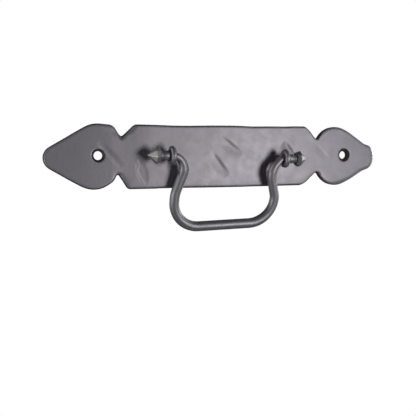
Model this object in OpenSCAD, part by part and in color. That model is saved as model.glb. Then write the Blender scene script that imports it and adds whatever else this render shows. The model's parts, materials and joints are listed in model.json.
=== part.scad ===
// Hand-forged bail pull on a long backplate with a spear leaf at each end.
// Millimetres. X runs along the plate, +Z is up, the plate's back face lies in the
// plane y = 0 and its front faces -Y. The origin is the middle of the back face.

/* [Plate] */
// Length of the plate from leaf tip to leaf tip
plate_l = 230; // [215:1:245]
// Height of the plate's body
plate_h = 40; // [36:0.5:48]
// Thickness of the plate
plate_t = 3.6; // [3:0.1:5]
// Distance from the plate's middle to each pair of notches
notch_x = 69; // [64:0.1:72]
// How much further out the lower left notch was cut
notch_out_bl = 1; // [0:0.1:1.5]
// Height of the waist left between two notches
waist_h = 22; // [18:0.5:24]
// Length of each waist strip that joins the body to a leaf
waist_l = 12; // [10:0.5:14]
// Where the sloping corners start, from each notch inwards, at the body's top left
corner_l_tl = 8.8; // [5:0.1:12]
// The same at the body's top right
corner_l_tr = 8; // [5:0.1:12]
// The same at the body's bottom left
corner_l_bl = 5.4; // [5:0.1:12]
// The same at the body's bottom right
corner_l_br = 9.2; // [5:0.1:14]
// Radius of the body's corners at the left
corner_r_left = 1.6; // [1.5:0.1:4]
// Radius of the body's top right corner
corner_r_tr = 2.3; // [1.5:0.1:4]
// Radius of the body's bottom right corner
corner_r_br = 5.3; // [1.5:0.1:6]

/* [Leaves] */
// Height of each leaf across its shoulders
leaf_h = 40.6; // [37:0.1:44]
// Radius of the leaf's shoulders
leaf_r = 16; // [15:0.1:17]
// How far outside its notch the top left shoulder has its middle
shoulder_tl = 13.2; // [12:0.1:16]
// The same for the top right shoulder
shoulder_tr = 13.6; // [12:0.1:16]
// The same for the bottom left shoulder
shoulder_bl = 15.3; // [12:0.1:16]
// The same for the bottom right shoulder
shoulder_br = 14.3; // [12:0.1:16]
// Radius of the leaf's blunt tip
tip_r = 7.6; // [6:0.1:9]
// How far the tips lie below the plate's middle line
tip_drop = 0.7; // [-1:0.1:1.5]

/* [Forged edges] */
// Width of the hammered bevel along the front edges of the leaves
leaf_bevel_w = 3.2; // [2.5:0.1:4]
// Width of the rounding along the front edges of the body
body_bevel_w = 1.2; // [0.8:0.1:1.4]
// Depth of the bevel and of the rounding
bevel_d = 0.9; // [0.6:0.1:1.2]
// Width of the small chamfer along the back edges
back_bevel = 0.3; // [0.2:0.1:0.5]

/* [Hammer marks] */
// Depth of the marks that the cross peen left in the front face
mark_d = 0.3; // [0.2:0.05:0.5]

/* [Screw holes] */
// Distance from the plate's middle to the left screw hole
screw_x_left = 82.2; // [80:0.1:86]
// Distance from the plate's middle to the right screw hole
screw_x_right = 89.9; // [86:0.1:94]
// Height of both screw holes above the plate's middle line
screw_z = 0.7; // [-1:0.1:1]
// Diameter of each screw hole
screw_d = 5.4; // [4.5:0.1:6]
// Diameter of the left countersink at the front face
sink_d_left = 8.2; // [7.5:0.1:10]
// Diameter of the right countersink at the front face
sink_d_right = 9.2; // [8:0.1:10]

/* [Eyes] */
// Distance between the two eyes
eye_spacing = 77; // [74:0.5:84]
// Distance from the plate's front to the middle of each eye's ring
eye_reach = 10.1; // [9.5:0.1:14]
// Height of the left eye above the plate's middle line
eye_z_left = 0.6; // [-2:0.1:2]
// Height of the right eye above the plate's middle line
eye_z_right = -1.5; // [-2:0.1:2]
// Diameter of the wire that the ring is bent from
eye_wire_d = 3.4; // [3:0.1:3.8]
// Diameter of the eye's shank in front of the plate
shank_d = 4; // [3.6:0.1:4.6]
// Diameter of the tenon that passes through the plate
tenon_d = 3; // [2.6:0.1:3.4]
// Diameter of the tenon's hammered head in the plate's back
rivet_d = 5.4; // [5:0.1:6]
// How far the hammered head stays below the plate's back face
rivet_sunk = 0.2; // [0.1:0.05:0.4]

/* [Bail] */
// Diameter of the necks that turn in the eyes
neck_d = 4.7; // [4.2:0.1:5]
// Gap all round between a neck and the ring it turns in
neck_gap = 0.25; // [0.15:0.05:0.4]
// Diameter of the collars outside the rings, from the necks to the finials
collar_d = 6; // [5.4:0.1:6.4]
// Gap between a ring and the collar beside it
collar_gap = 0.4; // [0.3:0.1:1]
// Diameter of the legs
leg_d = 6.3; // [5.8:0.1:6.8]
// Diameter of the grip
grip_d = 6.6; // [6:0.1:7.2]
// Distance below the eye axis at which the bar has thickened from neck to leg
taper_l = 9; // [8:0.5:14]
// Distance from the eye axis down to the grip's left end
drop_left = 47.2; // [46:0.1:52]
// Distance from the eye axis down to the grip's right end
drop_right = 43.9; // [43.9:0.1:52]
// How far inside its eye the left neck turns down
turn_in_left = 3.9; // [3.5:0.1:5]
// The same for the right neck
turn_in_right = 2; // [2:0.1:4]
// How far inside its eye the left swan neck bulges to, at its corner
bulge_in_left = 9.1; // [7.5:0.1:9.5]
// The same for the right swan neck
bulge_in_right = 9.3; // [7.5:0.1:10]
// How far below the eye axis the left bulge has its corner
bulge_drop_left = 7; // [6.5:0.1:8]
// The same for the right bulge
bulge_drop_right = 8.4; // [7:0.1:8.6]
// Bend radius of the left bulge
bulge_r_left = 9.4; // [4:0.1:9.6]
// Bend radius of the right bulge
bulge_r_right = 11.5; // [5:0.1:12]
// Slope of the swan necks below their bulges, in degrees from a leg
swan_slope = 17; // [16.5:0.5:18]
// How far inside its eye the left leg hangs
leg_in_left = 3.6; // [3:0.1:4.5]
// How far inside its eye the right leg hangs
leg_in_right = 4; // [3.8:0.1:4.8]
// Bend radius where the left swan neck runs into its leg
leg_r_left = 20; // [10:1:22]
// The same at the right
leg_r_right = 10; // [4:0.1:10.2]
// Bend radius of the bail's left lower corner
bail_r_left = 16.7; // [10:0.1:17]
// Bend radius of the bail's right lower corner
bail_r_right = 17.3; // [12:0.1:17.4]

/* [Finials] */
// Distance from a ring's middle out to its finial
finial_out = 7.7; // [5:0.1:10]
// Half the width of a finial across its corners
finial_r = 5.4; // [5:0.1:5.8]
// Half the width of a finial's back face across its corners
finial_back_r = 4.3; // [3.8:0.1:4.6]
// Length of the back bevel
finial_back_l = 2.4; // [1.5:0.1:3]
// Length of the point
finial_l = 5.5; // [4:0.1:8]
// Half the width of the point's blunt end
finial_tip_r = 0.45; // [0.3:0.05:0.8]

/* [Hidden] */

black_coat = [0.27, 0.26, 0.28];
bail_coat = [0.22, 0.22, 0.23];
eps = 0.01;

// Gap round a tenon in its hole, and under its hammered head
tenon_gap = 0.05;
// Gap between the grip and the surface behind the plate, where it comes to lie
rest_gap = 0.1;
// Length of the cylindrical land below each countersink
land_t = plate_t * 0.45;
// Share of a bevel's width and depth at which its slope changes
bevel_break = 0.35;

// The plate's outline, as circles whose common hull is each forged part
tip_x = plate_l / 2 - tip_r;
leaf_z = leaf_h / 2 - leaf_r;
notch_bl = notch_x + notch_out_bl;
waist_r = 1.5;

// Hammer marks, as [x, z, turn from the plate's length in degrees, length, width]
marks = [
    [-73, 0, 43, 14, 5],
    [-56.5, -9.5, 78, 16, 7],
    [-3.5, -4.7, 47, 19, 4.5],
    [4.5, 7.5, 31, 16, 4],
    [46.3, 5, 48, 10, 3]
];

// The eye axis runs through both rings, so it slopes where their heights differ
eye_x = eye_spacing / 2;
axis_y = -plate_t - eye_reach;
axis_z = (eye_z_left + eye_z_right) / 2;
axis_slope = asin((eye_z_left - eye_z_right) / eye_spacing);

// The ring leaves the named gap round the neck
neck_r = neck_d / 2;
ring_r = neck_r + neck_gap + eye_wire_d / 2;

// The bail lies back until its grip reaches the surface behind the plate
rest_tilt = asin((plate_t + eye_reach - grip_d / 2 - rest_gap) / max(drop_left, drop_right));

// Half of the bail's centre line, as corners [distance from the middle, drop below
// the eye axis, bend radius]. The first bend starts at the ring's middle, so the neck
// is straight inside its ring.
function half_line(turn_in, bulge_in, bulge_drop, bulge_r, leg_in, leg_r, drop, corner_r) =
    let (fall = atan2(bulge_drop, bulge_in - turn_in),
         leg_drop = bulge_drop + (bulge_in - leg_in) / tan(swan_slope))
    [
        [eye_x + neck_r / 2, 0, 0],
        [eye_x - turn_in, 0, turn_in / tan(fall / 2)],
        [eye_x - bulge_in, bulge_drop, bulge_r],
        [eye_x - leg_in, leg_drop, leg_r],
        [eye_x - leg_in, drop, corner_r]
    ];
half_left = half_line(turn_in_left, bulge_in_left, bulge_drop_left, bulge_r_left,
                      leg_in_left, leg_r_left, drop_left, bail_r_left);
half_right = half_line(turn_in_right, bulge_in_right, bulge_drop_right, bulge_r_right,
                       leg_in_right, leg_r_right, drop_right, bail_r_right);
bail_corners = concat(
    [for (c = half_left) [-c[0], c[1], c[2]]],
    [for (i = [len(half_right) - 1 : -1 : 0]) half_right[i]]);

// The bar's radius grows with the drop, from the necks to the grip. Inside the turned
// necks it starts a little thinner, so that it hides in them.
neck_skin = 0.1;
neck_drop = 1.5;
mid_taper = taper_l * 0.55;
bar_radii = [
    [0, neck_r - neck_skin],
    [neck_drop, neck_r],
    [mid_taper, (neck_r + leg_d / 2) / 2],
    [taper_l, leg_d / 2],
    [drop_right - grip_d, leg_d / 2],
    [drop_right - grip_d / 4, grip_d / 2]
];
bar_sides = 24;
finial_sides = 8;
bend_step = 7;

function unit(v) = v / norm(v);

// Points of the bend that rounds the corner b between a and c
function bend(a, b, c, r) =
    let (u = unit(a - b),
         v = unit(c - b),
         half = acos(u * v) / 2,
         centre = b + unit(u + v) * r / sin(half),
         from = b + u * r / tan(half) - centre,
         turn = 180 - 2 * half,
         side = sign(cross([u.x, u.y], [v.x, v.y])),
         steps = ceil(turn / bend_step))
    [for (i = [0 : steps])
        let (t = -side * turn * i / steps)
        centre + [from.x * cos(t) - from.y * sin(t), from.x * sin(t) + from.y * cos(t)]];

// Centre line of the bar, with every corner rounded by its own radius
function flat(p) = [p[0], p[1]];
function centre_line(c) = concat(
    [flat(c[0])],
    [for (i = [1 : len(c) - 2]) each bend(flat(c[i - 1]), flat(c[i]), flat(c[i + 1]), c[i][2])],
    [flat(c[len(c) - 1])]);

// Direction along the line at its point i
function heading(line, i) =
    let (before = unit(line[max(i, 1)] - line[max(i, 1) - 1]),
         after = unit(line[min(i, len(line) - 2) + 1] - line[min(i, len(line) - 2)]))
    unit(before + after);

// Ring of points round the bar at the line's point i
function bar_ring(line, i) =
    let (p = line[i],
         d = heading(line, i),
         r = lookup(p[1], bar_radii))
    [for (j = [0 : bar_sides - 1])
        let (a = 360 * j / bar_sides)
        [p[0] - d[1] * r * cos(a), r * sin(a), -p[1] - d[0] * r * cos(a)]];

// Round bar of changing thickness along a line in the plane y = 0
module swept_bar(line) {
    last = len(line) - 1;
    rings = [for (i = [0 : last]) each bar_ring(line, i)];
    walls = [for (i = [0 : last - 1], j = [0 : bar_sides - 1])
        let (k = (j + 1) % bar_sides)
        [i * bar_sides + j, (i + 1) * bar_sides + j, (i + 1) * bar_sides + k, i * bar_sides + k]];
    near_end = [for (j = [0 : bar_sides - 1]) j];
    far_end = [for (j = [bar_sides - 1 : -1 : 0]) last * bar_sides + j];
    polyhedron(rings, concat(walls, [near_end, far_end]));
}

// Moves its children from the eye axis' own frame to the plate
module on_eye_axis() {
    translate([0, axis_y, axis_z])
        rotate([0, axis_slope, 0])
            children();
}

// Convex forged slab over circles [x, z, r], with bevelled front and back edges
module forged_slab(circles, bevel_w) {
    layers = [
        [0, back_bevel],
        [back_bevel, 0],
        [plate_t - bevel_d, 0],
        [plate_t - bevel_d * bevel_break, bevel_w * bevel_break],
        [plate_t, bevel_w]
    ];
    rotate([90, 0, 0])
        hull()
            for (c = circles, i = [1 : len(layers) - 1])
                translate([c[0], c[1], layers[i - 1][0]])
                    cylinder(h = layers[i][0] - layers[i - 1][0], r1 = c[2] - layers[i - 1][1],
                             r2 = c[2] - layers[i][1], $fn = 48);
}

// One leaf, on the side given by -1 or 1, with its upper and lower shoulders' places
module leaf(side, upper_x, lower_x) {
    forged_slab([
        [side * upper_x, leaf_z, leaf_r],
        [side * lower_x, -leaf_z, leaf_r],
        [side * tip_x, -tip_drop, tip_r]
    ], leaf_bevel_w);
}

// The strip that carries one leaf across the waist
module waist(side) {
    reach = waist_l / 2 - waist_r;
    rise = waist_h / 2 - waist_r;
    forged_slab([for (dx = [-reach, reach], z = [-rise, rise])
        [side * notch_x + dx, z, waist_r]], body_bevel_w);
}

// The long body with its four sloping corners
module plate_body() {
    notch_z = waist_h / 2 - waist_r / 2;
    top = plate_h / 2;
    forged_slab([
        [-notch_x + corner_l_tl + corner_r_left, top - corner_r_left, corner_r_left],
        [-notch_bl + corner_l_bl + corner_r_left, corner_r_left - top, corner_r_left],
        [notch_x - corner_l_tr - corner_r_tr, top - corner_r_tr, corner_r_tr],
        [notch_x - corner_l_br - corner_r_br, corner_r_br - top, corner_r_br],
        [-notch_x + waist_r, notch_z, waist_r],
        [-notch_bl + waist_r, -notch_z, waist_r],
        [notch_x - waist_r, notch_z, waist_r],
        [notch_x - waist_r, -notch_z, waist_r]
    ], body_bevel_w);
}

// Screw hole with a countersink in the front face
module screw_hole(x, sink_d) {
    translate([x, 0, screw_z])
        rotate([90, 0, 0]) {
            translate([0, 0, -1])
                cylinder(h = plate_t + 2, d = screw_d, $fn = 48);
            translate([0, 0, land_t])
                cylinder(h = plate_t - land_t + eps, d1 = screw_d, d2 = sink_d, $fn = 48);
            translate([0, 0, plate_t])
                cylinder(h = 1, d = sink_d, $fn = 48);
        }
}

// Shallow boat-shaped mark of a hammer's cross peen, cut by a slice of a large ring
module hammer_mark(mark) {
    along_r = (pow(mark[3] / 2, 2) + pow(mark_d, 2)) / (2 * mark_d);
    across_r = (pow(mark[4] / 2, 2) + pow(mark_d, 2)) / (2 * mark_d);
    sweep = 4 * asin(mark[3] / 2 / along_r);
    translate([mark[0], -plate_t, mark[1]])
        rotate([0, mark[2], 0])
            translate([0, mark_d - along_r, 0])
                rotate([0, 0, 90 - sweep / 2])
                    rotate_extrude(angle = sweep, $fn = 360)
                        translate([along_r - across_r, 0])
                            circle(r = across_r, $fn = 96);
}

// Hole and back countersink for an eye's tenon, in the frame of the eye axis
module tenon_hole(side) {
    translate([side * eye_x, -axis_y, 0])
        rotate([90, 0, 0]) {
            translate([0, 0, -1])
                cylinder(h = plate_t + 2, d = tenon_d + 2 * tenon_gap, $fn = 36);
            translate([0, 0, -eps])
                cylinder(h = rivet_h() + eps, d1 = rivet_d + 2 * tenon_gap + 2 * eps,
                         d2 = tenon_d + 2 * tenon_gap, $fn = 36);
        }
}

// Depth of the cone that holds a tenon's hammered head
function rivet_h() = (rivet_d - tenon_d) / 2;

module backplate() {
    color(black_coat)
        difference() {
            union() {
                plate_body();
                for (side = [-1, 1])
                    waist(side);
                leaf(-1, notch_x + shoulder_tl, notch_bl + shoulder_bl);
                leaf(1, notch_x + shoulder_tr, notch_x + shoulder_br);
            }
            screw_hole(-screw_x_left, sink_d_left);
            screw_hole(screw_x_right, sink_d_right);
            for (mark = marks)
                hammer_mark(mark);
            on_eye_axis()
                for (side = [-1, 1])
                    tenon_hole(side);
        }
}

// Ring eye with its shank, tenon and hammered head, in the frame of the eye axis
module eye(side) {
    front = eye_reach;
    translate([side * eye_x, 0, 0]) {
        rotate([0, 90, 0])
            rotate_extrude($fn = 72)
                translate([ring_r, 0])
                    circle(d = eye_wire_d, $fn = 36);
        rotate([-90, 0, 0]) {
            translate([0, 0, ring_r])
                cylinder(h = front - ring_r, d = shank_d, $fn = 36);
            translate([0, 0, front - eps])
                cylinder(h = plate_t - rivet_sunk + eps, d = tenon_d, $fn = 36);
            translate([0, 0, front + plate_t - rivet_h()])
                cylinder(h = rivet_h() - rivet_sunk, d1 = tenon_d,
                         d2 = rivet_d - 2 * rivet_sunk, $fn = 36);
        }
    }
}

module left_eye() {
    color(bail_coat)
        on_eye_axis()
            eye(-1);
}

module right_eye() {
    color(bail_coat)
        on_eye_axis()
            eye(1);
}

// Neck, collar and faceted finial at one end of the bail
module neck_and_finial(side) {
    inner = eye_x - eye_wire_d / 2 + 0.2;
    collar = eye_x + eye_wire_d / 2 + collar_gap;
    outer = eye_x + finial_out;
    mirror([side < 0 ? 1 : 0, 0, 0])
        rotate([0, 90, 0]) {
            translate([0, 0, inner])
                cylinder(h = outer - inner + eps, d = neck_d, $fn = 48);
            translate([0, 0, collar])
                cylinder(h = outer - collar + eps, d = collar_d, $fn = 48);
            translate([0, 0, outer])
                cylinder(h = finial_back_l, r1 = finial_back_r, r2 = finial_r, $fn = finial_sides);
            translate([0, 0, outer + finial_back_l])
                cylinder(h = finial_l, r1 = finial_r, r2 = finial_tip_r, $fn = finial_sides);
        }
}

module bail_handle() {
    color(bail_coat)
        on_eye_axis()
            rotate([rest_tilt, 0, 0]) {
                swept_bar(centre_line(bail_corners));
                for (side = [-1, 1])
                    neck_and_finial(side);
            }
}

backplate();
left_eye();
right_eye();
bail_handle();
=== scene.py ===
"""Looks of a hand-forged bail pull on a long backplate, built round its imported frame.

Shapes are worked out in millimetres, in the frame's own axes, and become metres as
each mesh is made. X runs along the plate, +Z is up, and the plate's front faces -Y.
"""

import json
import math
from collections import namedtuple

import bmesh
import bpy
import numpy as np
from mathutils import Matrix, Vector, geometry, noise


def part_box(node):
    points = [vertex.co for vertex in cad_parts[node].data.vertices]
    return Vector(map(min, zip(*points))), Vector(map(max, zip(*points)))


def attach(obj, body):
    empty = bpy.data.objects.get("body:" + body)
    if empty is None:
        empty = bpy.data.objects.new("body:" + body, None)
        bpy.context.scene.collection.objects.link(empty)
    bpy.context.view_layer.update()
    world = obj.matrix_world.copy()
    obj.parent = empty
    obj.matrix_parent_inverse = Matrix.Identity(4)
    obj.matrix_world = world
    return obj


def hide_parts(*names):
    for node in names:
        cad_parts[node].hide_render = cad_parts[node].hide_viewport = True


MM = 0.001

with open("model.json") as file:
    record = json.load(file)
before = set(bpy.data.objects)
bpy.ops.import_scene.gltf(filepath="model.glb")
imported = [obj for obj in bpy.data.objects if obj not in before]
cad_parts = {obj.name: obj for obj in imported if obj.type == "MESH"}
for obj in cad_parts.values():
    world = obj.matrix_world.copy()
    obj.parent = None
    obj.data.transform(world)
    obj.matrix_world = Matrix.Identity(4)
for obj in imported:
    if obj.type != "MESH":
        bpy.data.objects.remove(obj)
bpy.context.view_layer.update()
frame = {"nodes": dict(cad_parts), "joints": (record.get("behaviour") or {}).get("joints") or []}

# Sizes of the plate. Of two values by side, -1 is the left one and 1 the right one.
PLATE_T = 3.6
NOTCH_X = 69.0
LEAF_BLEND = 6
BACK_BEVEL = 0.3
THINNEST_EDGE = 0.5
EDGE_DROP = 0.75
EDGE_POWER = 2.4
EDGE_ROUND = 0.90
EDGE_ROUND_W = 0.95
BODY_BEVEL_W = 1.3
LEAF_BEVEL_W = {-1: 1.5, 1: 2.2}
SINK_R = {-1: 4.1, 1: 4.6}
SINK_LAND = 1.62
SINK_LIP = 0.12
SINK_LIP_W = 0.6
TENON_SINK = 1.2
TENON_SINK_R = 2.75
# Where the leaves start to thin, over what length, and by how much at the tip
THIN_FROM = {-1: 5, 1: 8}
THIN_OVER = 40
THIN_BY = {-1: 1.1, 1: 0.35}
# The plate's left end lies a little lower than the rest
LEFT_END_X = -50
LEFT_END_BLEND = 18
LEFT_END_DROP = 0.32
# The body's lower edge was hammered back over a broad band
ROLL_Z = -6
ROLL_BLEND = 8
ROLL_W = 6
ROLL_DROP = 0.30
# Broad hammer blows and the finer dimples between them: depth, width, noise seed
BLOWS = (0.05, 17, 1.3)
DIMPLES = (0.012, 6, 5.9)
FACE_DROP = 0.08

# Sizes of the eyes and the bail
EYE_X = 38.5
WIRE_R = 1.7
NECK_R = 2.35
NECK_GAP = 0.25
RING_R = NECK_R + NECK_GAP + WIRE_R
SHANK_R = 2.0
TENON_R = 1.5
RIVET_R = 2.5
RIVET_H = 1.0
RIVET_SUNK = 0.2
SHANK_END_Y = -3.4
EYE_VOXEL = 0.2
SEAM_ANGLE = math.radians(-34)
SEAM_HALF_W = 0.28
SEAM_DEPTH = 0.10
WIRE_SWELL = 0.012
WIRE_NOISE_W = 2.2
LEG_R = 3.15
GRIP_R = 3.3
# How far below the eye axis the bar begins to thicken, is as thick as a leg, begins to
# thicken again, and is as thick as the grip. It has half thickened to a leg's size at
# the taper's middle, given as a share of its length.
NECK_DROP = 1.5
TAPER_L = 9.0
TAPER_MIDDLE = 0.55
LEG_DROP = 37.3
GRIP_DROP = 42.2
REST_GAP = 0.1
SWAN_SLOPE = math.radians(17)
# Each side's neck turn, bulge, leg and corner, as in the part's own half line
HALVES = {
    -1: dict(turn_in=3.9, bulge_in=9.1, bulge_drop=7.0, bulge_r=9.4, leg_in=3.6,
             leg_r=20.0, drop=47.2, corner_r=16.7),
    1: dict(turn_in=2.0, bulge_in=9.3, bulge_drop=8.4, bulge_r=11.5, leg_in=4.0,
            leg_r=10.0, drop=43.9, corner_r=17.3),
}
COLLAR_R = 3.0
COLLAR_GAP = 0.4
FINIAL_OUT = 7.7
FINIAL_BACK_R = 4.3
FINIAL_R = 5.4
FINIAL_BACK_L = 2.4
FINIAL_L = 5.5
FINIAL_TIP_R = 0.45
# The left finial's paler metallic point, partly bare iron and partly painted highlight, starts
# this far past its widest part
POINT_HIGHLIGHT_EDGE = 0.2

# Blows of the hammer's edge: the two ends, how far each falls gently from its lower
# left, how sharply it rises again at its upper right, and its depth
GROOVES = [
    ((-82.6, 8.6), (-67.8, -6.6), 2.0, 3.8, 0.30),
    ((-4.0, 13.2), (12.2, 1.0), 7.0, 2.8, 0.52),
    ((-9.8, 3.0), (2.0, -12.6), 7.0, 3.0, 0.52),
    ((42.6, 9.8), (51.0, -1.0), 6.0, 2.8, 0.75),
    ((66.4, 9.6), (77.6, -2.2), 5.0, 2.0, 0.16),
]
# The shallow oval dent by the left eye, whose slope ends a little outside the oval, and
# the burr along its left side
OVAL = dict(middle=(-55.4, -9.8), turn=74, length=17.0, width=7.5, depth=0.16)
OVAL_RIM = 1.15
BURR = [(-58.6, -2.6), (-57.4, -5.2), (-58.4, -8.3), (-57.0, -12.6), (-54.3, -16.6)]
BURR_HEIGHT = 0.075
BURR_HALF_W = 0.6

# Places where the smith drew the edge out or in: x, z, reach, push outwards
DRAWN_EDGES = [
    (-74.0, 17.5, 3.6, 1.35),
    (-29.0, 20.0, 17.0, -0.50),
    (22.0, 20.0, 8.0, -0.30),
    (55.0, 19.5, 7.0, 0.50),
    (62.5, 16.0, 2.5, 0.40),
    (91.0, 14.0, 5.0, 0.60),
    (99.0, 12.0, 8.0, 0.55),
    (111.0, 6.0, 3.5, 1.25),
    (110.0, -6.5, 4.0, 1.20),
    (-92.0, -20.0, 7.0, -0.25),
    (-68.4, 11.4, 1.6, 0.80),
    (-73.0, -14.5, 3.0, 0.40),
    (-56.0, -20.0, 9.0, 0.75),
    (0.0, -20.0, 40.0, 0.28),
    (60.0, -17.0, 4.0, 0.75),
    (66.5, -11.6, 1.6, -0.40),
    (97.0, -11.8, 10.0, 0.75),
]

# Broader bevels, which are also straighter: x, z, reach, width, drop
BROAD_POWER = 1.35
BROAD_BEVELS = [
    (-74.5, 15.5, 4.5, 5.5, 0.75),
    (-61.5, 16.0, 5.0, 2.4, 1.60),
    (-68.0, 11.2, 2.2, 2.8, 2.20),
    (-66.5, -15.0, 4.5, 1.7, 0.75),
    (-68.6, -10.6, 1.8, 2.2, 2.00),
    (71.2, 11.0, 1.6, 2.4, 1.80),
    (71.0, -11.6, 1.6, 2.0, 1.60),
    (88.0, -18.5, 7.0, 3.6, 1.10),
    (101.0, -11.0, 10.0, 3.0, 1.10),
    (113.0, 0.0, 6.0, 2.6, 0.80),
]


def rows_to_loop(pairs):
    """Chains vertex pairs of edges into closed loops."""
    near = {}
    for a, b in pairs:
        near.setdefault(a, []).append(b)
        near.setdefault(b, []).append(a)
    loops, seen = [], set()
    for start in near:
        if start in seen:
            continue
        loop, here = [], start
        while here is not None:
            seen.add(here)
            loop.append(here)
            here = next((n for n in near[here] if n not in seen), None)
        loops.append(loop)
    return loops


def plate_section(depth):
    """Closed loops of (x, z) where a plane at that depth from the back cuts the plate."""
    cut = bmesh.new()
    cut.from_mesh(frame["nodes"]["backplate"].data)
    bmesh.ops.remove_doubles(cut, verts=cut.verts, dist=0.001 * MM)
    found = bmesh.ops.bisect_plane(
        cut, geom=cut.verts[:] + cut.edges[:] + cut.faces[:], dist=0.0001 * MM,
        plane_co=(0, -depth * MM, 0), plane_no=(0, 1, 0))
    edges = [g for g in found["geom_cut"] if isinstance(g, bmesh.types.BMEdge)]
    loops = rows_to_loop([e.verts[:] for e in edges])
    sections = [np.array([(v.co.x / MM, v.co.z / MM) for v in loop]) for loop in loops]
    cut.free()
    return sorted(sections, key=lambda s: -np.ptp(s[:, 0]))


def counter_clockwise(loop):
    """The closed loop, turned round where it runs clockwise."""
    x, z = loop[:, 0], loop[:, 1]
    area = np.sum(x * np.roll(z, -1) - np.roll(x, -1) * z)
    return loop if area > 0 else loop[::-1]


def resampled(loop, step):
    """The closed loop again, with points about one step apart."""
    closed = np.vstack([loop, loop[:1]])
    along = np.concatenate([[0], np.cumsum(np.linalg.norm(np.diff(closed, axis=0), axis=1))])
    count = int(round(along[-1] / step))
    at = np.linspace(0, along[-1], count, endpoint=False)
    return np.column_stack([np.interp(at, along, closed[:, k]) for k in (0, 1)])


def softened(loop, passes):
    """The closed loop with each point drawn towards its neighbours, some times over."""
    for _ in range(passes):
        loop = 0.5 * loop + 0.25 * (np.roll(loop, 1, axis=0) + np.roll(loop, -1, axis=0))
    return loop


def outward(loop):
    """Unit normals of a counter-clockwise loop, pointing out of it."""
    along = np.roll(loop, -1, axis=0) - np.roll(loop, 1, axis=0)
    along /= np.linalg.norm(along, axis=1)[:, None]
    return np.column_stack([along[:, 1], -along[:, 0]])


def waves(points, scale, seed):
    """Smooth noise from -1 to 1 at points of the plate's face."""
    return np.array([noise.noise(Vector((x / scale, z / scale, seed))) for x, z in points])


def distance_to(points, loop):
    """Distance from each point to a closed loop."""
    return distance_to_path(points, np.vstack([loop, loop[:1]]))


def distance_to_path(points, path):
    """Distance from each point to a path of straight steps."""
    start, side = path[:-1], np.diff(path, axis=0)
    length2 = np.sum(side ** 2, axis=1)
    nearest = np.empty(len(points))
    chunk = 2000
    for i in range(0, len(points), chunk):
        gap = points[i:i + chunk, None, :] - start[None]
        t = np.clip(np.sum(gap * side[None], axis=2) / length2, 0, 1)
        gap -= t[..., None] * side[None]
        nearest[i:i + chunk] = np.sqrt(np.sum(gap ** 2, axis=2).min(axis=1))
    return nearest


def inside(points, loop):
    """True for points inside a closed loop."""
    x, z = points[:, 0, None], points[:, 1, None]
    x0, z0 = loop[:, 0][None], loop[:, 1][None]
    x1, z1 = np.roll(loop[:, 0], -1)[None], np.roll(loop[:, 1], -1)[None]
    crosses = (z0 > z) != (z1 > z)
    with np.errstate(divide="ignore", invalid="ignore"):
        at = x0 + (z - z0) * (x1 - x0) / (z1 - z0)
    return np.sum(crosses & (x < at), axis=1) % 2 == 1


def ease(t):
    """0 to 1 as t goes from 0 to 1, starting and ending gently."""
    t = np.clip(t, 0, 1)
    return t * t * (3 - 2 * t)


def nearness(points, x, z, reach):
    """1 at (x, z), falling away smoothly over the reach."""
    return np.exp(-((points[:, 0] - x) ** 2 + (points[:, 1] - z) ** 2) / reach ** 2)


def groove(points, start, end, gentle, steep, depth):
    """Depth of a straight blow: gentle on its lower left, steep on its upper right."""
    along = np.subtract(end, start)
    length = np.hypot(*along)
    along = along / length
    across = np.array([-along[1], along[0]])
    if across.sum() < 0:
        across = -across
    gap = points - np.array(start)
    u = 2 * (gap @ along) / length - 1
    v = gap @ across
    side = np.where(v < 0, ease(1 + v / gentle), ease(1 - v / steep))
    return depth * side * np.clip(1 - u ** 2, 0, 1)


# The plate's outline is cut at this depth from the back, and gets the slow waves that
# hammering leaves in a drawn-out edge
SECTION_DEPTH = 4 * BACK_BEVEL
OUTLINE_STEP = 0.75
OUTLINE_PASSES = 3
EDGE_WAVE = 0.07
# Each wave's share, width and noise seed
EDGE_WAVES = ((1.0, 11, 3.1), (0.6, 4, 8.7))


def forged_outline(section):
    """The plate's outline as the hammer left it, kept inside the solid plate's box."""
    loop = resampled(counter_clockwise(section), OUTLINE_STEP)
    loop = softened(loop, OUTLINE_PASSES)
    push = EDGE_WAVE * sum(share * waves(loop, width, seed)
                           for share, width, seed in EDGE_WAVES)
    for x, z, reach, by in DRAWN_EDGES:
        push += by * nearness(loop, x, z, reach)
    box_lo, box_hi = (np.array([c.x, c.z]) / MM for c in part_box("backplate"))
    loop = loop + outward(loop) * push[:, None]
    return np.clip(loop, box_lo, box_hi)


def centre_of(section):
    """Middle of a loop's box."""
    return (section.min(axis=0) + section.max(axis=0)) / 2


def circle(middle, radius, count):
    """A circle of points about a hole's middle."""
    a = np.linspace(0, 2 * math.pi, count, endpoint=False)
    return middle + radius * np.column_stack([np.cos(a), np.sin(a)])


def clear_of(points, middle, radius):
    """The points that lie further than the radius from a hole's middle."""
    return points[np.linalg.norm(points - middle, axis=1) > radius]


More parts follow.
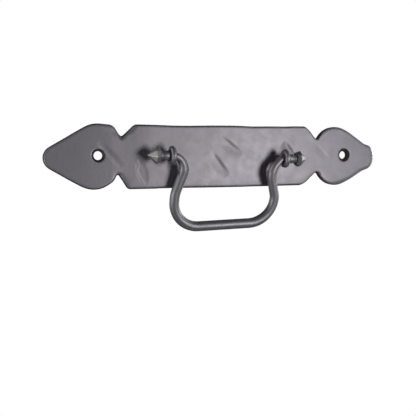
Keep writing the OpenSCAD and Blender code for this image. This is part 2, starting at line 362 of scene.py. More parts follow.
def front_drop(points, edge):
    """How far the hammered front lies below the plate's full thickness, where edge is
    the distance to the outline."""
    x, z = points[:, 0], points[:, 1]
    leaf = ease((np.abs(x) - NOTCH_X) / LEAF_BLEND)
    leaf_width = np.where(x < 0, LEAF_BEVEL_W[-1], LEAF_BEVEL_W[1])
    width = BODY_BEVEL_W + leaf * (leaf_width - BODY_BEVEL_W)
    depth, power = np.full(len(x), EDGE_DROP), np.full(len(x), EDGE_POWER)
    for bx, bz, reach, wide, deep in BROAD_BEVELS:
        near = nearness(points, bx, bz, reach)
        width += near * (wide - width)
        depth += near * (deep - depth)
        power += near * (BROAD_POWER - power)
    drop = depth * (1 - np.clip(edge / width, 0, 1)) ** power
    drop += EDGE_ROUND * (1 - np.clip(edge / EDGE_ROUND_W, 0, 1)) ** 2
    rolled = ease((ROLL_Z - z) / ROLL_BLEND) * (1 - leaf)
    drop += ROLL_DROP * rolled * (1 - np.clip(edge / ROLL_W, 0, 1)) ** 2
    for side in (-1, 1):
        along = side * x - NOTCH_X - THIN_FROM[side]
        drop += THIN_BY[side] * np.clip(along / THIN_OVER, 0, 1)
    drop += LEFT_END_DROP * ease((LEFT_END_X - x) / LEFT_END_BLEND) + FACE_DROP
    for blow_depth, blow_w, seed in (BLOWS, DIMPLES):
        drop += blow_depth * waves(points, blow_w, seed)
    for mark in GROOVES:
        drop += groove(points, *mark)
    turn = math.radians(OVAL["turn"])
    gap = points - np.array(OVAL["middle"])
    u = (gap[:, 0] * math.cos(turn) - gap[:, 1] * math.sin(turn)) / (OVAL["length"] / 2)
    v = (gap[:, 0] * math.sin(turn) + gap[:, 1] * math.cos(turn)) / (OVAL["width"] / 2)
    drop += OVAL["depth"] * ease(OVAL_RIM - u ** 2 - v ** 2)
    from_burr = distance_to_path(points, np.array(BURR))
    drop -= BURR_HEIGHT * np.exp(-(from_burr / BURR_HALF_W) ** 2)
    return np.minimum(drop, PLATE_T - THINNEST_EDGE)


def ring_faces(first, second):
    """Quads between two rings of vertex numbers of the same length."""
    count = len(first)
    return [(first[i], first[(i + 1) % count], second[(i + 1) % count], second[i])
            for i in range(count)]


def triangulated(loops, extra, solid, holes):
    """Triangles over the loops and extra points, inside solid and outside every hole.
    Loop points keep their order at the front of the result."""
    points, edges = [], []
    for loop in loops:
        base = len(points)
        points += [Vector(p) for p in loop]
        edges += [(base + i, base + (i + 1) % len(loop)) for i in range(len(loop))]
    points += [Vector(p) for p in extra]
    found = geometry.delaunay_2d_cdt(points, edges, [], 0, 1e-6, True)
    if len(found[0]) != len(points):
        raise ValueError("two points of the plate's face fell together")
    co = np.array([(p.x, p.y) for p in found[0]])
    tris = np.array(found[2])
    middle = co[tris].mean(axis=1)
    keep = inside(middle, solid)
    for hole in holes:
        keep &= ~inside(middle, hole)
    return co, tris[keep]


# An edge stays sharp where its two faces differ by more than this, in degrees
PLATE_SHARP = 38
BAIL_SHARP = 32
EYE_SHARP = 45

# The mesh of the plate's faces: a triangular grid, finer round the marks, inside rings
# that follow the outline, with rings of points round the holes
GRID_STEP = 0.8
MARK_MARGIN = 3.5
OVAL_MARGIN = 2
RING_INSETS = (0.3, 0.7, 1.2, 1.9, 2.7, 3.6)
# A ring's point is kept where the outline is at least this share of its inset away
RING_KEPT = 0.93
GRID_GAP = 0.4
LIP_RINGS = (0.25, 0.6)
LIP_GAP = 0.9
SINK_POINTS = 56
TENON_POINTS = 32
BACK_THINNING = 7
BACK_GAP = 2
BACK_HOLE_GAP = 0.8
# Heights of the points on a side wall, as shares of the way to the front
WALL_ROWS = (0.8, 0.55, 0.3, 0.0)
WALL_WAVE = 0.04
WALL_WAVE_W = 3
WALL_SEED = 20
WALL_INSET = 0.03
# A screw hole's rounded edge below its cone: out from the bore, and back from the land
LAND_STEPS = ((0.1, 0.15), (0, -0.1))
# How far inside a countersink's rim its painted shade, a darker, duller coat, starts
PAINTED_SHADE_INSET = 0.1
# A face is part of a wall where less than this share of its normal points along Y
WALL_FACING = 0.55


def face_grid(outline):
    """Grid points inside the outline and clear of the rings that follow it."""
    lo, hi = outline.min(axis=0), outline.max(axis=0)
    rise = math.sqrt(3) / 2
    rows = np.arange(lo[1], hi[1], GRID_STEP * rise)
    grid = np.array([(x + (i % 2) * GRID_STEP / 2, z) for i, z in enumerate(rows)
                     for x in np.arange(lo[0], hi[0], GRID_STEP)])
    marked = [((a + b) / 2, np.linalg.norm(b - a) / 2 + MARK_MARGIN)
              for a, b in ((np.array(g[0]), np.array(g[1])) for g in GROOVES)]
    marked.append((np.array(OVAL["middle"]), OVAL["length"] / 2 + OVAL_MARGIN))
    fine = grid[np.any([np.linalg.norm(grid - m, axis=1) < r for m, r in marked], axis=0)]
    half = GRID_STEP / 2
    between = ((half, 0), (half / 2, half * rise), (-half / 2, half * rise))
    grid = np.vstack([grid] + [fine + np.array(step) for step in between])
    grid = grid[inside(grid, outline)]
    return grid[distance_to(grid, outline) > RING_INSETS[-1] + GRID_GAP]


# A hole of the plate: its middle, its radius in the front and the back face, how many
# points go round it, the radius and depth of each step of its wall between the faces,
# and how far from it the front's other points keep
Hole = namedtuple("Hole", "middle front_r back_r points steps gap")


def plate_holes(sections):
    """The two screw holes, left and right, and the two tenon holes."""
    cut = sorted(sections, key=lambda s: s[:, 0].mean())
    screw_r, tenon_r = (np.ptp(s[:, 0]) / 2 for s in cut[:2])
    land = [(screw_r + out, SINK_LAND + deeper) for out, deeper in LAND_STEPS]
    screws = [Hole(centre_of(s), sink_r, screw_r, SINK_POINTS, land, LIP_GAP)
              for s, sink_r in ((cut[0], SINK_R[-1]), (cut[3], SINK_R[1]))]
    tenon_steps = [(tenon_r, TENON_SINK)]
    tenons = [Hole(centre_of(s), tenon_r, TENON_SINK_R, TENON_POINTS, tenon_steps, GRID_GAP)
              for s in cut[1:3]]
    return screws, tenons


def front_face(outline, grid, screws, tenons):
    """The hammered front's points, with the outline's and the holes' first, its
    triangles, and how far each point lies below the full thickness."""
    normals = outward(outline)
    extra = []
    for inset in RING_INSETS:
        ring = outline - normals * inset
        extra.append(ring[distance_to(ring, outline) > RING_KEPT * inset])
    extra = np.vstack(extra + [grid])
    for h in screws + tenons:
        extra = clear_of(extra, h.middle, h.front_r + h.gap)
    lips = [circle(h.middle, h.front_r + out, h.points) for h in screws for out in LIP_RINGS]
    extra = np.vstack([extra] + lips)
    rims = [circle(h.middle, h.front_r, h.points) for h in screws + tenons]
    points, tris = triangulated([outline] + rims, extra, outline, rims)
    edge = distance_to(points, outline)
    edge[:len(outline)] = 0
    drop = front_drop(points, edge)
    for h in screws:
        from_sink = np.linalg.norm(points - h.middle, axis=1) - h.front_r
        drop += SINK_LIP * np.clip(1 - from_sink / SINK_LIP_W, 0, 1) ** 2
    return points, tris, drop


def back_face(outline, grid, holes):
    """The flat back's points, with its outline's and the holes' first, and triangles."""
    loop = outline - outward(outline) * BACK_BEVEL
    coarse = grid[::BACK_THINNING]
    coarse = coarse[distance_to(coarse, outline) > BACK_GAP]
    for h in holes:
        coarse = clear_of(coarse, h.middle, h.back_r + BACK_HOLE_GAP)
    rims = [circle(h.middle, h.back_r, h.points) for h in holes]
    return triangulated([loop] + rims, coarse, loop, rims)


def paint_shade_on_parts(plate, material, screws):
    """Paints shade on the plate's side walls and countersinks, as a darker, duller coat."""
    plate.data.materials.append(material)
    sunk = [(h.middle, h.front_r - PAINTED_SHADE_INSET) for h in screws]
    for face in plate.data.polygons:
        x, z = face.center.x / MM, face.center.z / MM
        in_sink = any(math.hypot(x - middle[0], z - middle[1]) < r for middle, r in sunk)
        if in_sink or abs(face.normal.y) < WALL_FACING:
            face.material_index = 1


def forged_plate(material, painted_shade_material):
    """The backplate's visible skin: hammered front, forged edges, countersunk holes and
    a flat back with the tenons' countersinks."""
    sections = plate_section(SECTION_DEPTH)
    outline = forged_outline(sections[0])
    screws, tenons = plate_holes(sections[1:])
    grid = face_grid(outline)
    front, front_tris, drop = front_face(outline, grid, screws, tenons)
    verts = [(x, d - PLATE_T, z) for (x, z), d in zip(front, drop)]
    faces = [tuple(t) for t in front_tris]

    def add_ring(loop, y):
        """Adds the loop's points at y, one value or one for each, and says their numbers."""
        base = len(verts)
        verts.extend((x, at, z) for (x, z), at in zip(loop, np.broadcast_to(y, len(loop))))
        return list(range(base, base + len(loop)))

    # Side walls, from the front's outline to the back
    normals = outward(outline)
    rim = list(range(len(outline)))
    rim_y = drop[:len(outline)] - PLATE_T
    for k, up in enumerate(WALL_ROWS):
        push = WALL_WAVE * waves(outline, WALL_WAVE_W, WALL_SEED + k) - WALL_INSET
        wall = outline + normals * push[:, None]
        row = add_ring(wall, (rim_y + BACK_BEVEL) * up - BACK_BEVEL)
        faces += ring_faces(rim, row)
        rim = row
    back, back_tris = back_face(outline, grid, screws + tenons)
    back_base = len(verts)
    verts.extend((x, 0.0, z) for x, z in back)
    faces += [tuple(back_base + i for i in reversed(t)) for t in back_tris]
    faces += ring_faces(rim, [back_base + i for i in range(len(outline))])

    # Walls of the holes, from the front face to the back
    at_front, at_back = len(outline), back_base + len(outline)
    for h in screws + tenons:
        rim = list(range(at_front, at_front + h.points))
        for radius, depth in h.steps:
            row = add_ring(circle(h.middle, radius, h.points), -depth)
            faces += ring_faces(row, rim)
            rim = row
        faces += ring_faces(list(range(at_back, at_back + h.points)), rim)
        at_front, at_back = at_front + h.points, at_back + h.points

    piece = mesh_object("forged_plate", verts, faces, material, PLATE_SHARP)
    # Painted shade on the side walls and countersinks, as a darker, duller coat
    paint_shade_on_parts(piece, painted_shade_material, screws)
    return piece


def placed(name, data):
    """An object of that name and data, in the scene."""
    made = bpy.data.objects.new(name, data)
    bpy.context.scene.collection.objects.link(made)
    return made


def mesh_object(name, verts, faces, material, sharp_angle):
    """A piece from points in millimetres, smooth but for edges above that angle."""
    mesh = bpy.data.meshes.new(name)
    mesh.from_pydata([tuple(c * MM for c in v) for v in verts], [], faces)
    mesh.validate()
    shell = bmesh.new()
    shell.from_mesh(mesh)
    bmesh.ops.recalc_face_normals(shell, faces=shell.faces)
    shell.to_mesh(mesh)
    shell.free()
    mesh.polygons.foreach_set("use_smooth", [True] * len(mesh.polygons))
    mesh.set_sharp_from_angle(angle=math.radians(sharp_angle))
    mesh.materials.append(material)
    return placed(name, mesh)


# The hinge line through both rings, and the frame that hangs from it
hinge = frame["joints"][0]
AXIS_POINT = Vector(hinge["pos_m"]) / MM
AXIS_SLOPE = math.asin(hinge["axis"][2])
REST_TILT = math.asin((-AXIS_POINT.y - GRIP_R - REST_GAP) / HALVES[-1]["drop"])
ON_AXIS = Matrix.Translation(AXIS_POINT) @ Matrix.Rotation(AXIS_SLOPE, 4, "Y")
ON_BAIL = ON_AXIS @ Matrix.Rotation(REST_TILT, 4, "X")


# The first bend takes nearly all of the straight before it
FULL_BEND = 0.999


def half_line(side):
    """Corners of one half of the bail's centre line: distance out, drop, bend radius."""
    h = HALVES[side]
    fall = math.atan2(h["bulge_drop"], h["bulge_in"] - h["turn_in"])
    leg_drop = h["bulge_drop"] + (h["bulge_in"] - h["leg_in"]) / math.tan(SWAN_SLOPE)
    return [
        (EYE_X, 0, 0),
        (EYE_X - h["turn_in"], 0, FULL_BEND * h["turn_in"] / math.tan(fall / 2)),
        (EYE_X - h["bulge_in"], h["bulge_drop"], h["bulge_r"]),
        (EYE_X - h["leg_in"], leg_drop, h["leg_r"]),
        (EYE_X - h["leg_in"], h["drop"], h["corner_r"]),
    ]


BEND_STEP = math.radians(2.5)
STRAIGHT_STEP = 1.0
LEAST_STEP = 0.02


def bend(a, b, c, r):
    """Points of the bend that rounds the corner b between a and c."""
    u, v = (a - b).normalized(), (c - b).normalized()
    half = math.acos(max(-1, min(1, u.dot(v)))) / 2
    centre = b + (u + v).normalized() * r / math.sin(half)
    start = b + u * r / math.tan(half) - centre
    turn = math.pi - 2 * half
    side = math.copysign(1, u.x * v.y - u.y * v.x)
    steps = max(2, math.ceil(turn / BEND_STEP))
    return [centre + Matrix.Rotation(-side * turn * i / steps, 2) @ start
            for i in range(steps + 1)]


def centre_line():
    """The bail's centre line from the left ring's middle to the right one's, as
    (x, drop) points about a millimetre apart."""
    left = [(-x, drop, r) for x, drop, r in half_line(-1)]
    corners = left + half_line(1)[::-1]
    flat = [Vector(c[:2]) for c in corners]
    line = [flat[0]]
    for i in range(1, len(corners) - 1):
        for p in bend(flat[i - 1], flat[i], flat[i + 1], corners[i][2]):
            gap = (p - line[-1]).length
            for k in range(1, int(gap / STRAIGHT_STEP) + 1):
                line.append(line[-1].lerp(p, 1 / (int(gap / STRAIGHT_STEP) + 2 - k)))
            if (p - line[-1]).length > LEAST_STEP:
                line.append(p)
    line.append(flat[-1])
    return line


# A bar's cross-section: a circle, or eight facets with a corner in front. The points
# stand closer together at the corners.
FACETS = 8
FACET_TURN = 2 * math.pi / FACETS
FACET_POINTS = 8
FACET_STOPS = [0.5 - 0.5 * math.cos(math.pi * (k + 0.5) / FACET_POINTS)
               for k in range(FACET_POINTS)]
SIDES = FACETS * FACET_POINTS


def bar_section(radius, faceted):
    """Points of a cross-section, round at faceted 0 and flat-sided at 1."""
    points = []
    for facet in range(FACETS):
        for stop in FACET_STOPS:
            off = (stop - 0.5) * FACET_TURN
            a = (facet + 0.5) * FACET_TURN + off
            flat = math.cos(FACET_TURN / 2) / math.cos(off)
            r = radius * (1 + faceted * (flat - 1))
            points.append((r * math.cos(a), r * math.sin(a)))
    return points


def bar_radius(drop):
    """The bar's radius at that distance below the eye axis."""
    stops = [0, NECK_DROP, TAPER_MIDDLE * TAPER_L, TAPER_L, LEG_DROP, GRIP_DROP]
    radii = [NECK_R, NECK_R, (NECK_R + LEG_R) / 2, LEG_R, LEG_R, GRIP_R]
    return float(np.interp(drop, stops, radii))


def finial_profile():
    """Neck, collar and finial from a ring's middle outwards: distance, radius, and how
    far the section is faceted."""
    collar = WIRE_R + COLLAR_GAP
    back = FINIAL_OUT
    widest = back + FINIAL_BACK_L
    tip = widest + FINIAL_L
    return [
        (0.6, NECK_R, 0), (collar - 0.05, NECK_R, 0), (collar, NECK_R + 0.1, 0),
        (collar, COLLAR_R - 0.3, 0), (collar + 0.1, COLLAR_R - 0.08, 0),
        (collar + 0.4, COLLAR_R, 0), (collar + 1.8, COLLAR_R, 0),
        (back - 1.9, COLLAR_R - 0.1, 0), (back - 1.4, COLLAR_R - 0.28, 0),
        (back - 1.0, COLLAR_R - 0.1, 0), (back - 0.3, COLLAR_R, 0),
        (back - 0.05, COLLAR_R + 0.1, 0),
        (back, COLLAR_R + 0.3, 0.3), (back, FINIAL_BACK_R - 0.2, 1),
        (back + 0.12, FINIAL_BACK_R, 1), (back + 0.5, FINIAL_BACK_R + 0.25, 1),
        (widest - 0.4, FINIAL_R - 0.12, 1), (widest - 0.1, FINIAL_R, 1),
        (widest + 0.15, FINIAL_R - 0.05, 1), (widest + 0.5, FINIAL_R - 0.36, 1),
        (widest + 2.0, 3.55, 1), (widest + 3.9, 1.75, 1), (tip - 0.5, 0.72, 1),
        (tip - 0.12, FINIAL_TIP_R, 1), (tip, 0.25, 1),
    ]


# How uneven the bar is: share of its radius, and the noise's widths and weights
BAR_SWELL = 0.02
BAR_NOISE = ((7, 0.55), (2.6, 0.25))
FINIAL_SWELL = 0.6
SWELL_BLEND = 6


def forged_bail(material, point_and_highlight_material):
    """The bail as one forged bar: finial, neck, swan neck, grip, and back again."""
    profile = finial_profile()
    along = Vector((1, 0))
    stations = [(Vector((-EYE_X - out, 0)), along, r, cut) for out, r, cut in profile[::-1]]
    line = centre_line()
    for i, p in enumerate(line):
        ahead = line[min(i + 1, len(line) - 1)]
        behind = line[max(i - 1, 0)]
        stations.append((p, (ahead - behind).normalized(), bar_radius(p.y), 0))
    stations += [(Vector((EYE_X + out, 0)), along, r, cut) for out, r, cut in profile]
    verts, faces, previous = [], [], None
    for p, d, radius, faceted in stations:
        row = []
        for in_plane, across in bar_section(radius, faceted):
            local = Vector((p.x - d.y * in_plane, across, -p.y - d.x * in_plane))
            forged = sum(noise.noise(local / width) * share for width, share in BAR_NOISE)
            free = FINIAL_SWELL if faceted else min(1, p.y / SWELL_BLEND)
            swell = 1 + BAR_SWELL * forged * free
            middle = Vector((p.x, 0, -p.y))
            row.append(len(verts))
            verts.append(tuple(ON_BAIL @ (middle + (local - middle) * swell)))
        if previous:
            faces += ring_faces(previous, row)
        previous = row
    first = list(range(SIDES))
    for cap, flip in ((first, True), (previous, False)):
        middle = len(verts)
        verts.append(tuple(np.mean([verts[i] for i in cap], axis=0)))
        fan = [(cap[i], cap[(i + 1) % SIDES], middle) for i in range(SIDES)]
        faces += [f[::-1] for f in fan] if flip else fan
    piece = mesh_object("forged_bail", verts, faces, material, BAIL_SHARP)
    # The left finial's point gets the paler metallic finish: partly bare iron, partly painted
    # highlight
    piece.data.materials.append(point_and_highlight_material)
    point_x = EYE_X + FINIAL_OUT + FINIAL_BACK_L + POINT_HIGHLIGHT_EDGE
    for face in piece.data.polygons:
        if face.center.x / MM < -point_x:
            face.material_index = 1
    return piece


TURNED_POINTS = 48


def lathe(shell, profile, centre):
    """Adds a turned form about a line along Y through the centre, from (radius, y)."""
    rings = [[shell.verts.new((centre.x + r * math.cos(a), y, centre.z + r * math.sin(a)))
              for a in np.linspace(0, 2 * math.pi, TURNED_POINTS, endpoint=False)]
             for r, y in profile]
    for a, b in zip(rings[:-1], rings[1:]):
        for quad in ring_faces(a, b):
            shell.faces.new(quad)
    shell.faces.new(rings[0][::-1])
    shell.faces.new(rings[-1])


RING_POINTS = 120
WIRE_POINTS = 40


def eye_blank(centre):
    """A wire ring about the centre and its shank, which run into each other."""
    shell = bmesh.new()
    rows = []
    for i in range(RING_POINTS):
        a = 2 * math.pi * i / RING_POINTS
        out = Vector((0, math.cos(a), math.sin(a)))
        rows.append([shell.verts.new(centre + out * (RING_R + WIRE_R * math.cos(b))
                                     + Vector((WIRE_R * math.sin(b), 0, 0)))
                     for b in np.linspace(0, 2 * math.pi, WIRE_POINTS, endpoint=False)])
    for a, b in zip(rows, rows[1:] + rows[:1]):
        for quad in ring_faces(a, b):
            shell.faces.new(quad)
    foot = centre.y + RING_R
    lathe(shell, [(WIRE_R - 0.1, foot - 0.6), (SHANK_R, foot + 1.4),
                  (SHANK_R, -PLATE_T - 0.2), (SHANK_R + 0.1, -PLATE_T - 0.05),
                  (SHANK_R + 0.1, SHANK_END_Y)], centre)
    raw = bpy.data.meshes.new("eye_blank")
    shell.to_mesh(raw)
    shell.free()
    return placed("eye_blank", raw)


def fused(blank):
    """The blank's forms under one soft skin, as a bmesh. The blank itself is removed."""
    skin = blank.modifiers.new("skin", "REMESH")
    skin.mode = "VOXEL"
    skin.voxel_size = EYE_VOXEL
    soft = blank.modifiers.new("soft", "SMOOTH")
    soft.factor = 0.5
    soft.iterations = 5
    done = blank.evaluated_get(bpy.context.evaluated_depsgraph_get()).to_mesh()
    skinned = bmesh.new()
    skinned.from_mesh(done)
    bpy.data.objects.remove(blank)
    return skinned


def forged_eye(side, material):
    """One eye: a wire ring closed on its shank, and the tenon riveted behind."""
    centre = ON_AXIS @ Vector((side * EYE_X, 0, 0))
    skinned = fused(eye_blank(centre))
    # The wire's end shows as a seam on the ring's lower side, close to the shank
    for v in skinned.verts:
        around = math.atan2(v.co.z - centre.z, v.co.y - centre.y)
        out = Vector((0, math.cos(around), math.sin(around)))
        from_seam = (around - SEAM_ANGLE) * RING_R / SEAM_HALF_W
        wire = centre + out * RING_R
        v.co = wire + (v.co - wire) * (1 - SEAM_DEPTH * math.exp(-from_seam ** 2))
        v.co += (v.co - wire) * WIRE_SWELL * noise.noise(v.co / WIRE_NOISE_W)
    head_y = -RIVET_SUNK - RIVET_H
    lathe(skinned, [(TENON_R, SHANK_END_Y - 0.3), (TENON_R, head_y),
                    (RIVET_R, -RIVET_SUNK - 0.15), (RIVET_R - 0.3, -RIVET_SUNK)], centre)
    mesh = bpy.data.meshes.new("eye")
    skinned.to_mesh(mesh)
    skinned.free()
    verts = [v.co[:] for v in mesh.vertices]
    faces = [p.vertices[:] for p in mesh.polygons]
    name = "forged_eye_left" if side < 0 else "forged_eye_right"
    return mesh_object(name, verts, faces, material, EYE_SHARP)


# Noises of a surface, as scale, detail and roughness, and the middle part of their range
CLOUDS = (55, 4, 0.6)
SHEEN = (170, 3, 0.55)
PEEL = (1500, 3, 0.5)
FORGE_MARKS = (420, 4, 0.6)
NOISE_LOW = 0.3
NOISE_HIGH = 0.7
SHEEN_SPREAD = 0.03
# Bumps, as strength and distance in metres
PEEL_BUMP = (0.12, 0.00012)
FORGE_BUMP = (0.15, 0.0003)


def coat_material(name, base, sheen_tint, roughness, ior, mottle, metallic=0.0):
    """Satin black powder coat over forged iron, or the bare iron where metallic is 1:
    even pigment with faint mottling, an orange-peel skin, and a sheen that varies where
    the iron below was hammered."""
    material = bpy.data.materials.new(name)
    material.use_nodes = True
    nodes, links = material.node_tree.nodes, material.node_tree.links
    shader = nodes["Principled BSDF"]
    shader.inputs["Metallic"].default_value = metallic
    shader.inputs["IOR"].default_value = ior
    shader.inputs["Specular Tint"].default_value = (*sheen_tint, 1)
    where = nodes.new("ShaderNodeTexCoord")

    def noise_of(scale, detail, rough):
        made = nodes.new("ShaderNodeTexNoise")
        made.inputs["Scale"].default_value = scale
        made.inputs["Detail"].default_value = detail
        made.inputs["Roughness"].default_value = rough
        links.new(where.outputs["Object"], made.inputs["Vector"])
        return made.outputs["Fac"]

    def bump_of(height, strength, distance):
        made = nodes.new("ShaderNodeBump")
        made.inputs["Strength"].default_value = strength
        made.inputs["Distance"].default_value = distance
        links.new(height, made.inputs["Height"])
        return made

    ramp = nodes.new("ShaderNodeValToRGB")
    low, high = ramp.color_ramp.elements
    low.position, high.position = NOISE_LOW, NOISE_HIGH
    low.color = (*[c * (1 - mottle) for c in base], 1)
    high.color = (*[c * (1 + mottle) for c in base], 1)
    links.new(noise_of(*CLOUDS), ramp.inputs["Fac"])
    links.new(ramp.outputs["Color"], shader.inputs["Base Color"])

    spread = nodes.new("ShaderNodeMapRange")
    spread.inputs["From Min"].default_value = NOISE_LOW
    spread.inputs["From Max"].default_value = NOISE_HIGH
    spread.inputs["To Min"].default_value = roughness - SHEEN_SPREAD
    spread.inputs["To Max"].default_value = roughness + SHEEN_SPREAD
    links.new(noise_of(*SHEEN), spread.inputs["Value"])
    links.new(spread.outputs["Result"], shader.inputs["Roughness"])

    peel = bump_of(noise_of(*PEEL), *PEEL_BUMP)
    forge_marks = bump_of(noise_of(*FORGE_MARKS), *FORGE_BUMP)
    links.new(peel.outputs["Normal"], forge_marks.inputs["Normal"])
    links.new(forge_marks.outputs["Normal"], shader.inputs["Normal"])
    return material


# The plate's sheen is a little purple, and that of the rest nearly neutral
PLATE_SHEEN = (0.98, 0.935, 1.0)
BAR_SHEEN = (0.97, 0.96, 0.985)

plate_coat = coat_material(
    "plate_coat_look", base=(0.08, 0.073, 0.088), sheen_tint=PLATE_SHEEN,
    roughness=0.47, ior=1.7, mottle=0.05)
# Painted shade: a darker, duller coat on the countersinks and the plate's side walls, which lie
# in shade
painted_shade_coat = coat_material(
    "painted_shade_look", base=(0.02, 0.019, 0.021), sheen_tint=BAR_SHEEN,
    roughness=0.7, ior=1.35, mottle=0.05)
bar_coat = coat_material(
    "bail_coat_look", base=(0.045, 0.042, 0.049), sheen_tint=BAR_SHEEN,
    roughness=0.49, ior=1.92, mottle=0.05)
# The left finial's point is paler and metallic: partly worn to the iron, partly a painted
# highlight for the light its facets catch from the left
bare_point_and_highlight = coat_material(
    "point_bare_and_highlight_look", base=(0.26, 0.265, 0.245), sheen_tint=BAR_SHEEN,
    roughness=0.42, ior=1.7, mottle=0.08, metallic=1.0)

plate = forged_plate(plate_coat, painted_shade_coat)
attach(plate, "plate")
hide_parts("backplate")

bail = forged_bail(bar_coat, bare_point_and_highlight)
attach(bail, "bail")
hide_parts("bail_handle")

for side, node in ((-1, "left_eye"), (1, "right_eye")):
    eye = forged_eye(side, bar_coat)
    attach(eye, "plate")
    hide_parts(node)


# Where the photograph was taken from, with the camera's yaw, pitch and roll in degrees
CAMERA_PLACE = (-0.13649, -0.36144, 0.00118)
CAMERA_TURN = (19.207, -5.231, -0.116)
LENS_MM = 50.46
SENSOR_MM = 36


def stand_camera():
    """The camera of the photograph, which looks along +Y at yaw 0."""
    yaw, pitch, roll = (math.radians(a) for a in CAMERA_TURN)
    ahead = Vector((math.sin(yaw) * math.cos(pitch), math.cos(yaw) * math.cos(pitch),
                    math.sin(pitch)))
    right = Vector((math.cos(yaw), -math.sin(yaw), 0))
    up = right.cross(ahead)
    right, up = (right * math.cos(roll) + up * math.sin(roll),
                 up * math.cos(roll) - right * math.sin(roll))
    turn = Matrix((right, up, -ahead)).transposed()
    data = bpy.data.cameras.new("camera")
    data.sensor_width = SENSOR_MM
    data.lens = LENS_MM
    data.clip_start = 0.01
    data.clip_end = 20
    camera = placed("camera", data)
    camera.matrix_world = Matrix.Translation(CAMERA_PLACE) @ turn.to_4x4()
    bpy.context.scene.camera = camera


# Softboxes: name, azimuth (0 in front and 90 at the right), elevation, distance, width,
# height and power. The ones at the sides stand behind the plate's front, or low, so that
# they draw streaks on the bars and leave the plate to the key lamp.
LAMPS = [
    ("key", 24, -4, 0.6, 0.16, 0.26, 3.5),
    ("left", -95, 28, 0.5, 0.06, 0.06, 0.9),
    ("low left", -74, -10, 0.5, 0.05, 0.08, 1.1),
    ("right", 97, 3, 0.5, 0.1, 0.2, 1.3),
]


def area_light(name, azimuth, elevation, distance, width, height, power):
    """A softbox aimed at the plate's middle."""
    a, e = math.radians(azimuth), math.radians(elevation)
    place = distance * Vector((math.sin(a) * math.cos(e), -math.cos(a) * math.cos(e),
                               math.sin(e)))
    data = bpy.data.lights.new(name, "AREA")
    data.shape = "RECTANGLE"
    data.size = width
    data.size_y = height
    data.energy = power
    light = placed(name, data)
    light.location = place
    light.rotation_euler = (-place).to_track_quat("-Z", "Z").to_euler()


def math_node(tree, operation, *values):
    """The result of a math node, whose values are numbers or other nodes' outputs."""
    made = tree.nodes.new("ShaderNodeMath")
    made.operation = operation
    for socket, value in zip(made.inputs, values):
        if isinstance(value, bpy.types.NodeSocket):
            tree.links.new(value, socket)
        else:
            socket.default_value = value
    return made.outputs[0]


def mixed(tree, share, first, second, output):
    """Sends the output the first shader, and the second one by that share."""
    mix = tree.nodes.new("ShaderNodeMixShader")
    for socket, value in zip(mix.inputs, (share, first.outputs[0], second.outputs[0])):
        tree.links.new(value, socket)
    tree.links.new(mix.outputs[0], output.inputs["Surface"])


# White that gloss sees: a low backdrop all round behind, and a card at each side. A
# card has its middle's direction and the cosines of the angles where it begins and is
# full, and the backdrop has a height, how far it fades above and below that, and where
# it begins at the sides.
BACKDROP_Z = -0.09
BACKDROP_FADE = (0.34, 0.20)
BACKDROP_SIDES = (0, 0.2)
CARDS = [
    ((0.95, 0.28, 0.12), 0.62, 0.78),
    ((-0.78, -0.48, -0.40), 0.86, 0.95),
]
DIM_COLOUR = (0.96, 0.97, 1.0, 1)
DIM_STRENGTH = 0.03


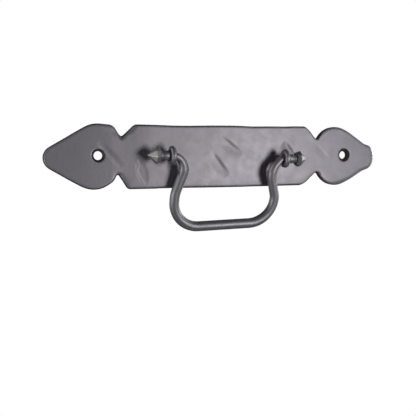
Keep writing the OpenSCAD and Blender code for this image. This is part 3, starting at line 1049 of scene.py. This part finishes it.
def studio():
    """White surroundings for the camera, a backdrop and cards that gloss also sees, and
    dim soft light from everywhere else."""
    world = bpy.data.worlds.new("studio")
    world.use_nodes = True
    bpy.context.scene.world = world
    tree = world.node_tree
    dim = tree.nodes["Background"]
    dim.inputs["Color"].default_value = DIM_COLOUR
    dim.inputs["Strength"].default_value = DIM_STRENGTH
    white = tree.nodes.new("ShaderNodeBackground")
    white.inputs["Color"].default_value = (1, 1, 1, 1)
    white.inputs["Strength"].default_value = 1.0
    rays = tree.nodes.new("ShaderNodeLightPath").outputs
    where = tree.nodes.new("ShaderNodeTexCoord")

    def ramp(value, begins, full):
        """0 where the value begins and 1 where it is full."""
        edge = tree.nodes.new("ShaderNodeMapRange")
        edge.inputs["From Min"].default_value = begins
        edge.inputs["From Max"].default_value = full
        tree.links.new(value, edge.inputs["Value"])
        return edge.outputs["Result"]

    def along(direction):
        """How far a ray's unit direction points that way."""
        toward = tree.nodes.new("ShaderNodeVectorMath")
        toward.operation = "DOT_PRODUCT"
        toward.inputs[1].default_value = direction
        tree.links.new(where.outputs["Generated"], toward.inputs[0])
        return toward.outputs["Value"]

    height = math_node(tree, "SUBTRACT", along((0, 0, 1)), BACKDROP_Z)
    level = ramp(math_node(tree, "ABSOLUTE", height), *BACKDROP_FADE)
    seen = math_node(tree, "MULTIPLY", level, ramp(along((0, 1, 0)), *BACKDROP_SIDES))
    for middle, begins, full in CARDS:
        seen = math_node(tree, "MAXIMUM", seen, ramp(along(middle), begins, full))
    gloss = math_node(tree, "MAXIMUM", rays["Is Glossy Ray"], rays["Is Transmission Ray"])
    seen = math_node(tree, "MULTIPLY", gloss, seen)
    shown = math_node(tree, "MAXIMUM", rays["Is Camera Ray"], seen)
    mixed(tree, shown, dim, white, tree.nodes["World Output"])


# The floor lies as far below the pull as below one on a cupboard's door
FLOOR_Z = -1.1
FLOOR_CORNERS = [(-0.4, -0.5), (0.4, -0.5), (0.4, 0.1), (-0.4, 0.1)]


def pale_floor():
    """A plain pale floor, below the photograph's view. The camera and gloss see it as
    white as the surroundings."""
    mesh = bpy.data.meshes.new("floor")
    mesh.from_pydata([(x, y, FLOOR_Z) for x, y in FLOOR_CORNERS], [], [(0, 1, 2, 3)])
    material = bpy.data.materials.new("floor")
    material.use_nodes = True
    tree = material.node_tree
    pale = tree.nodes["Principled BSDF"]
    pale.inputs["Base Color"].default_value = (0.8, 0.8, 0.8, 1)
    pale.inputs["Roughness"].default_value = 0.9
    white = tree.nodes.new("ShaderNodeEmission")
    white.inputs["Strength"].default_value = 1.0
    rays = tree.nodes.new("ShaderNodeLightPath").outputs
    gloss = math_node(tree, "MAXIMUM", rays["Is Glossy Ray"], rays["Is Transmission Ray"])
    shown = math_node(tree, "MAXIMUM", rays["Is Camera Ray"], gloss)
    mixed(tree, shown, pale, white, tree.nodes["Material Output"])
    mesh.materials.append(material)
    placed("floor", mesh)


stand_camera()
studio()
pale_floor()
for lamp in LAMPS:
    area_light(*lamp)
bpy.context.scene.view_settings.view_transform = "Standard"
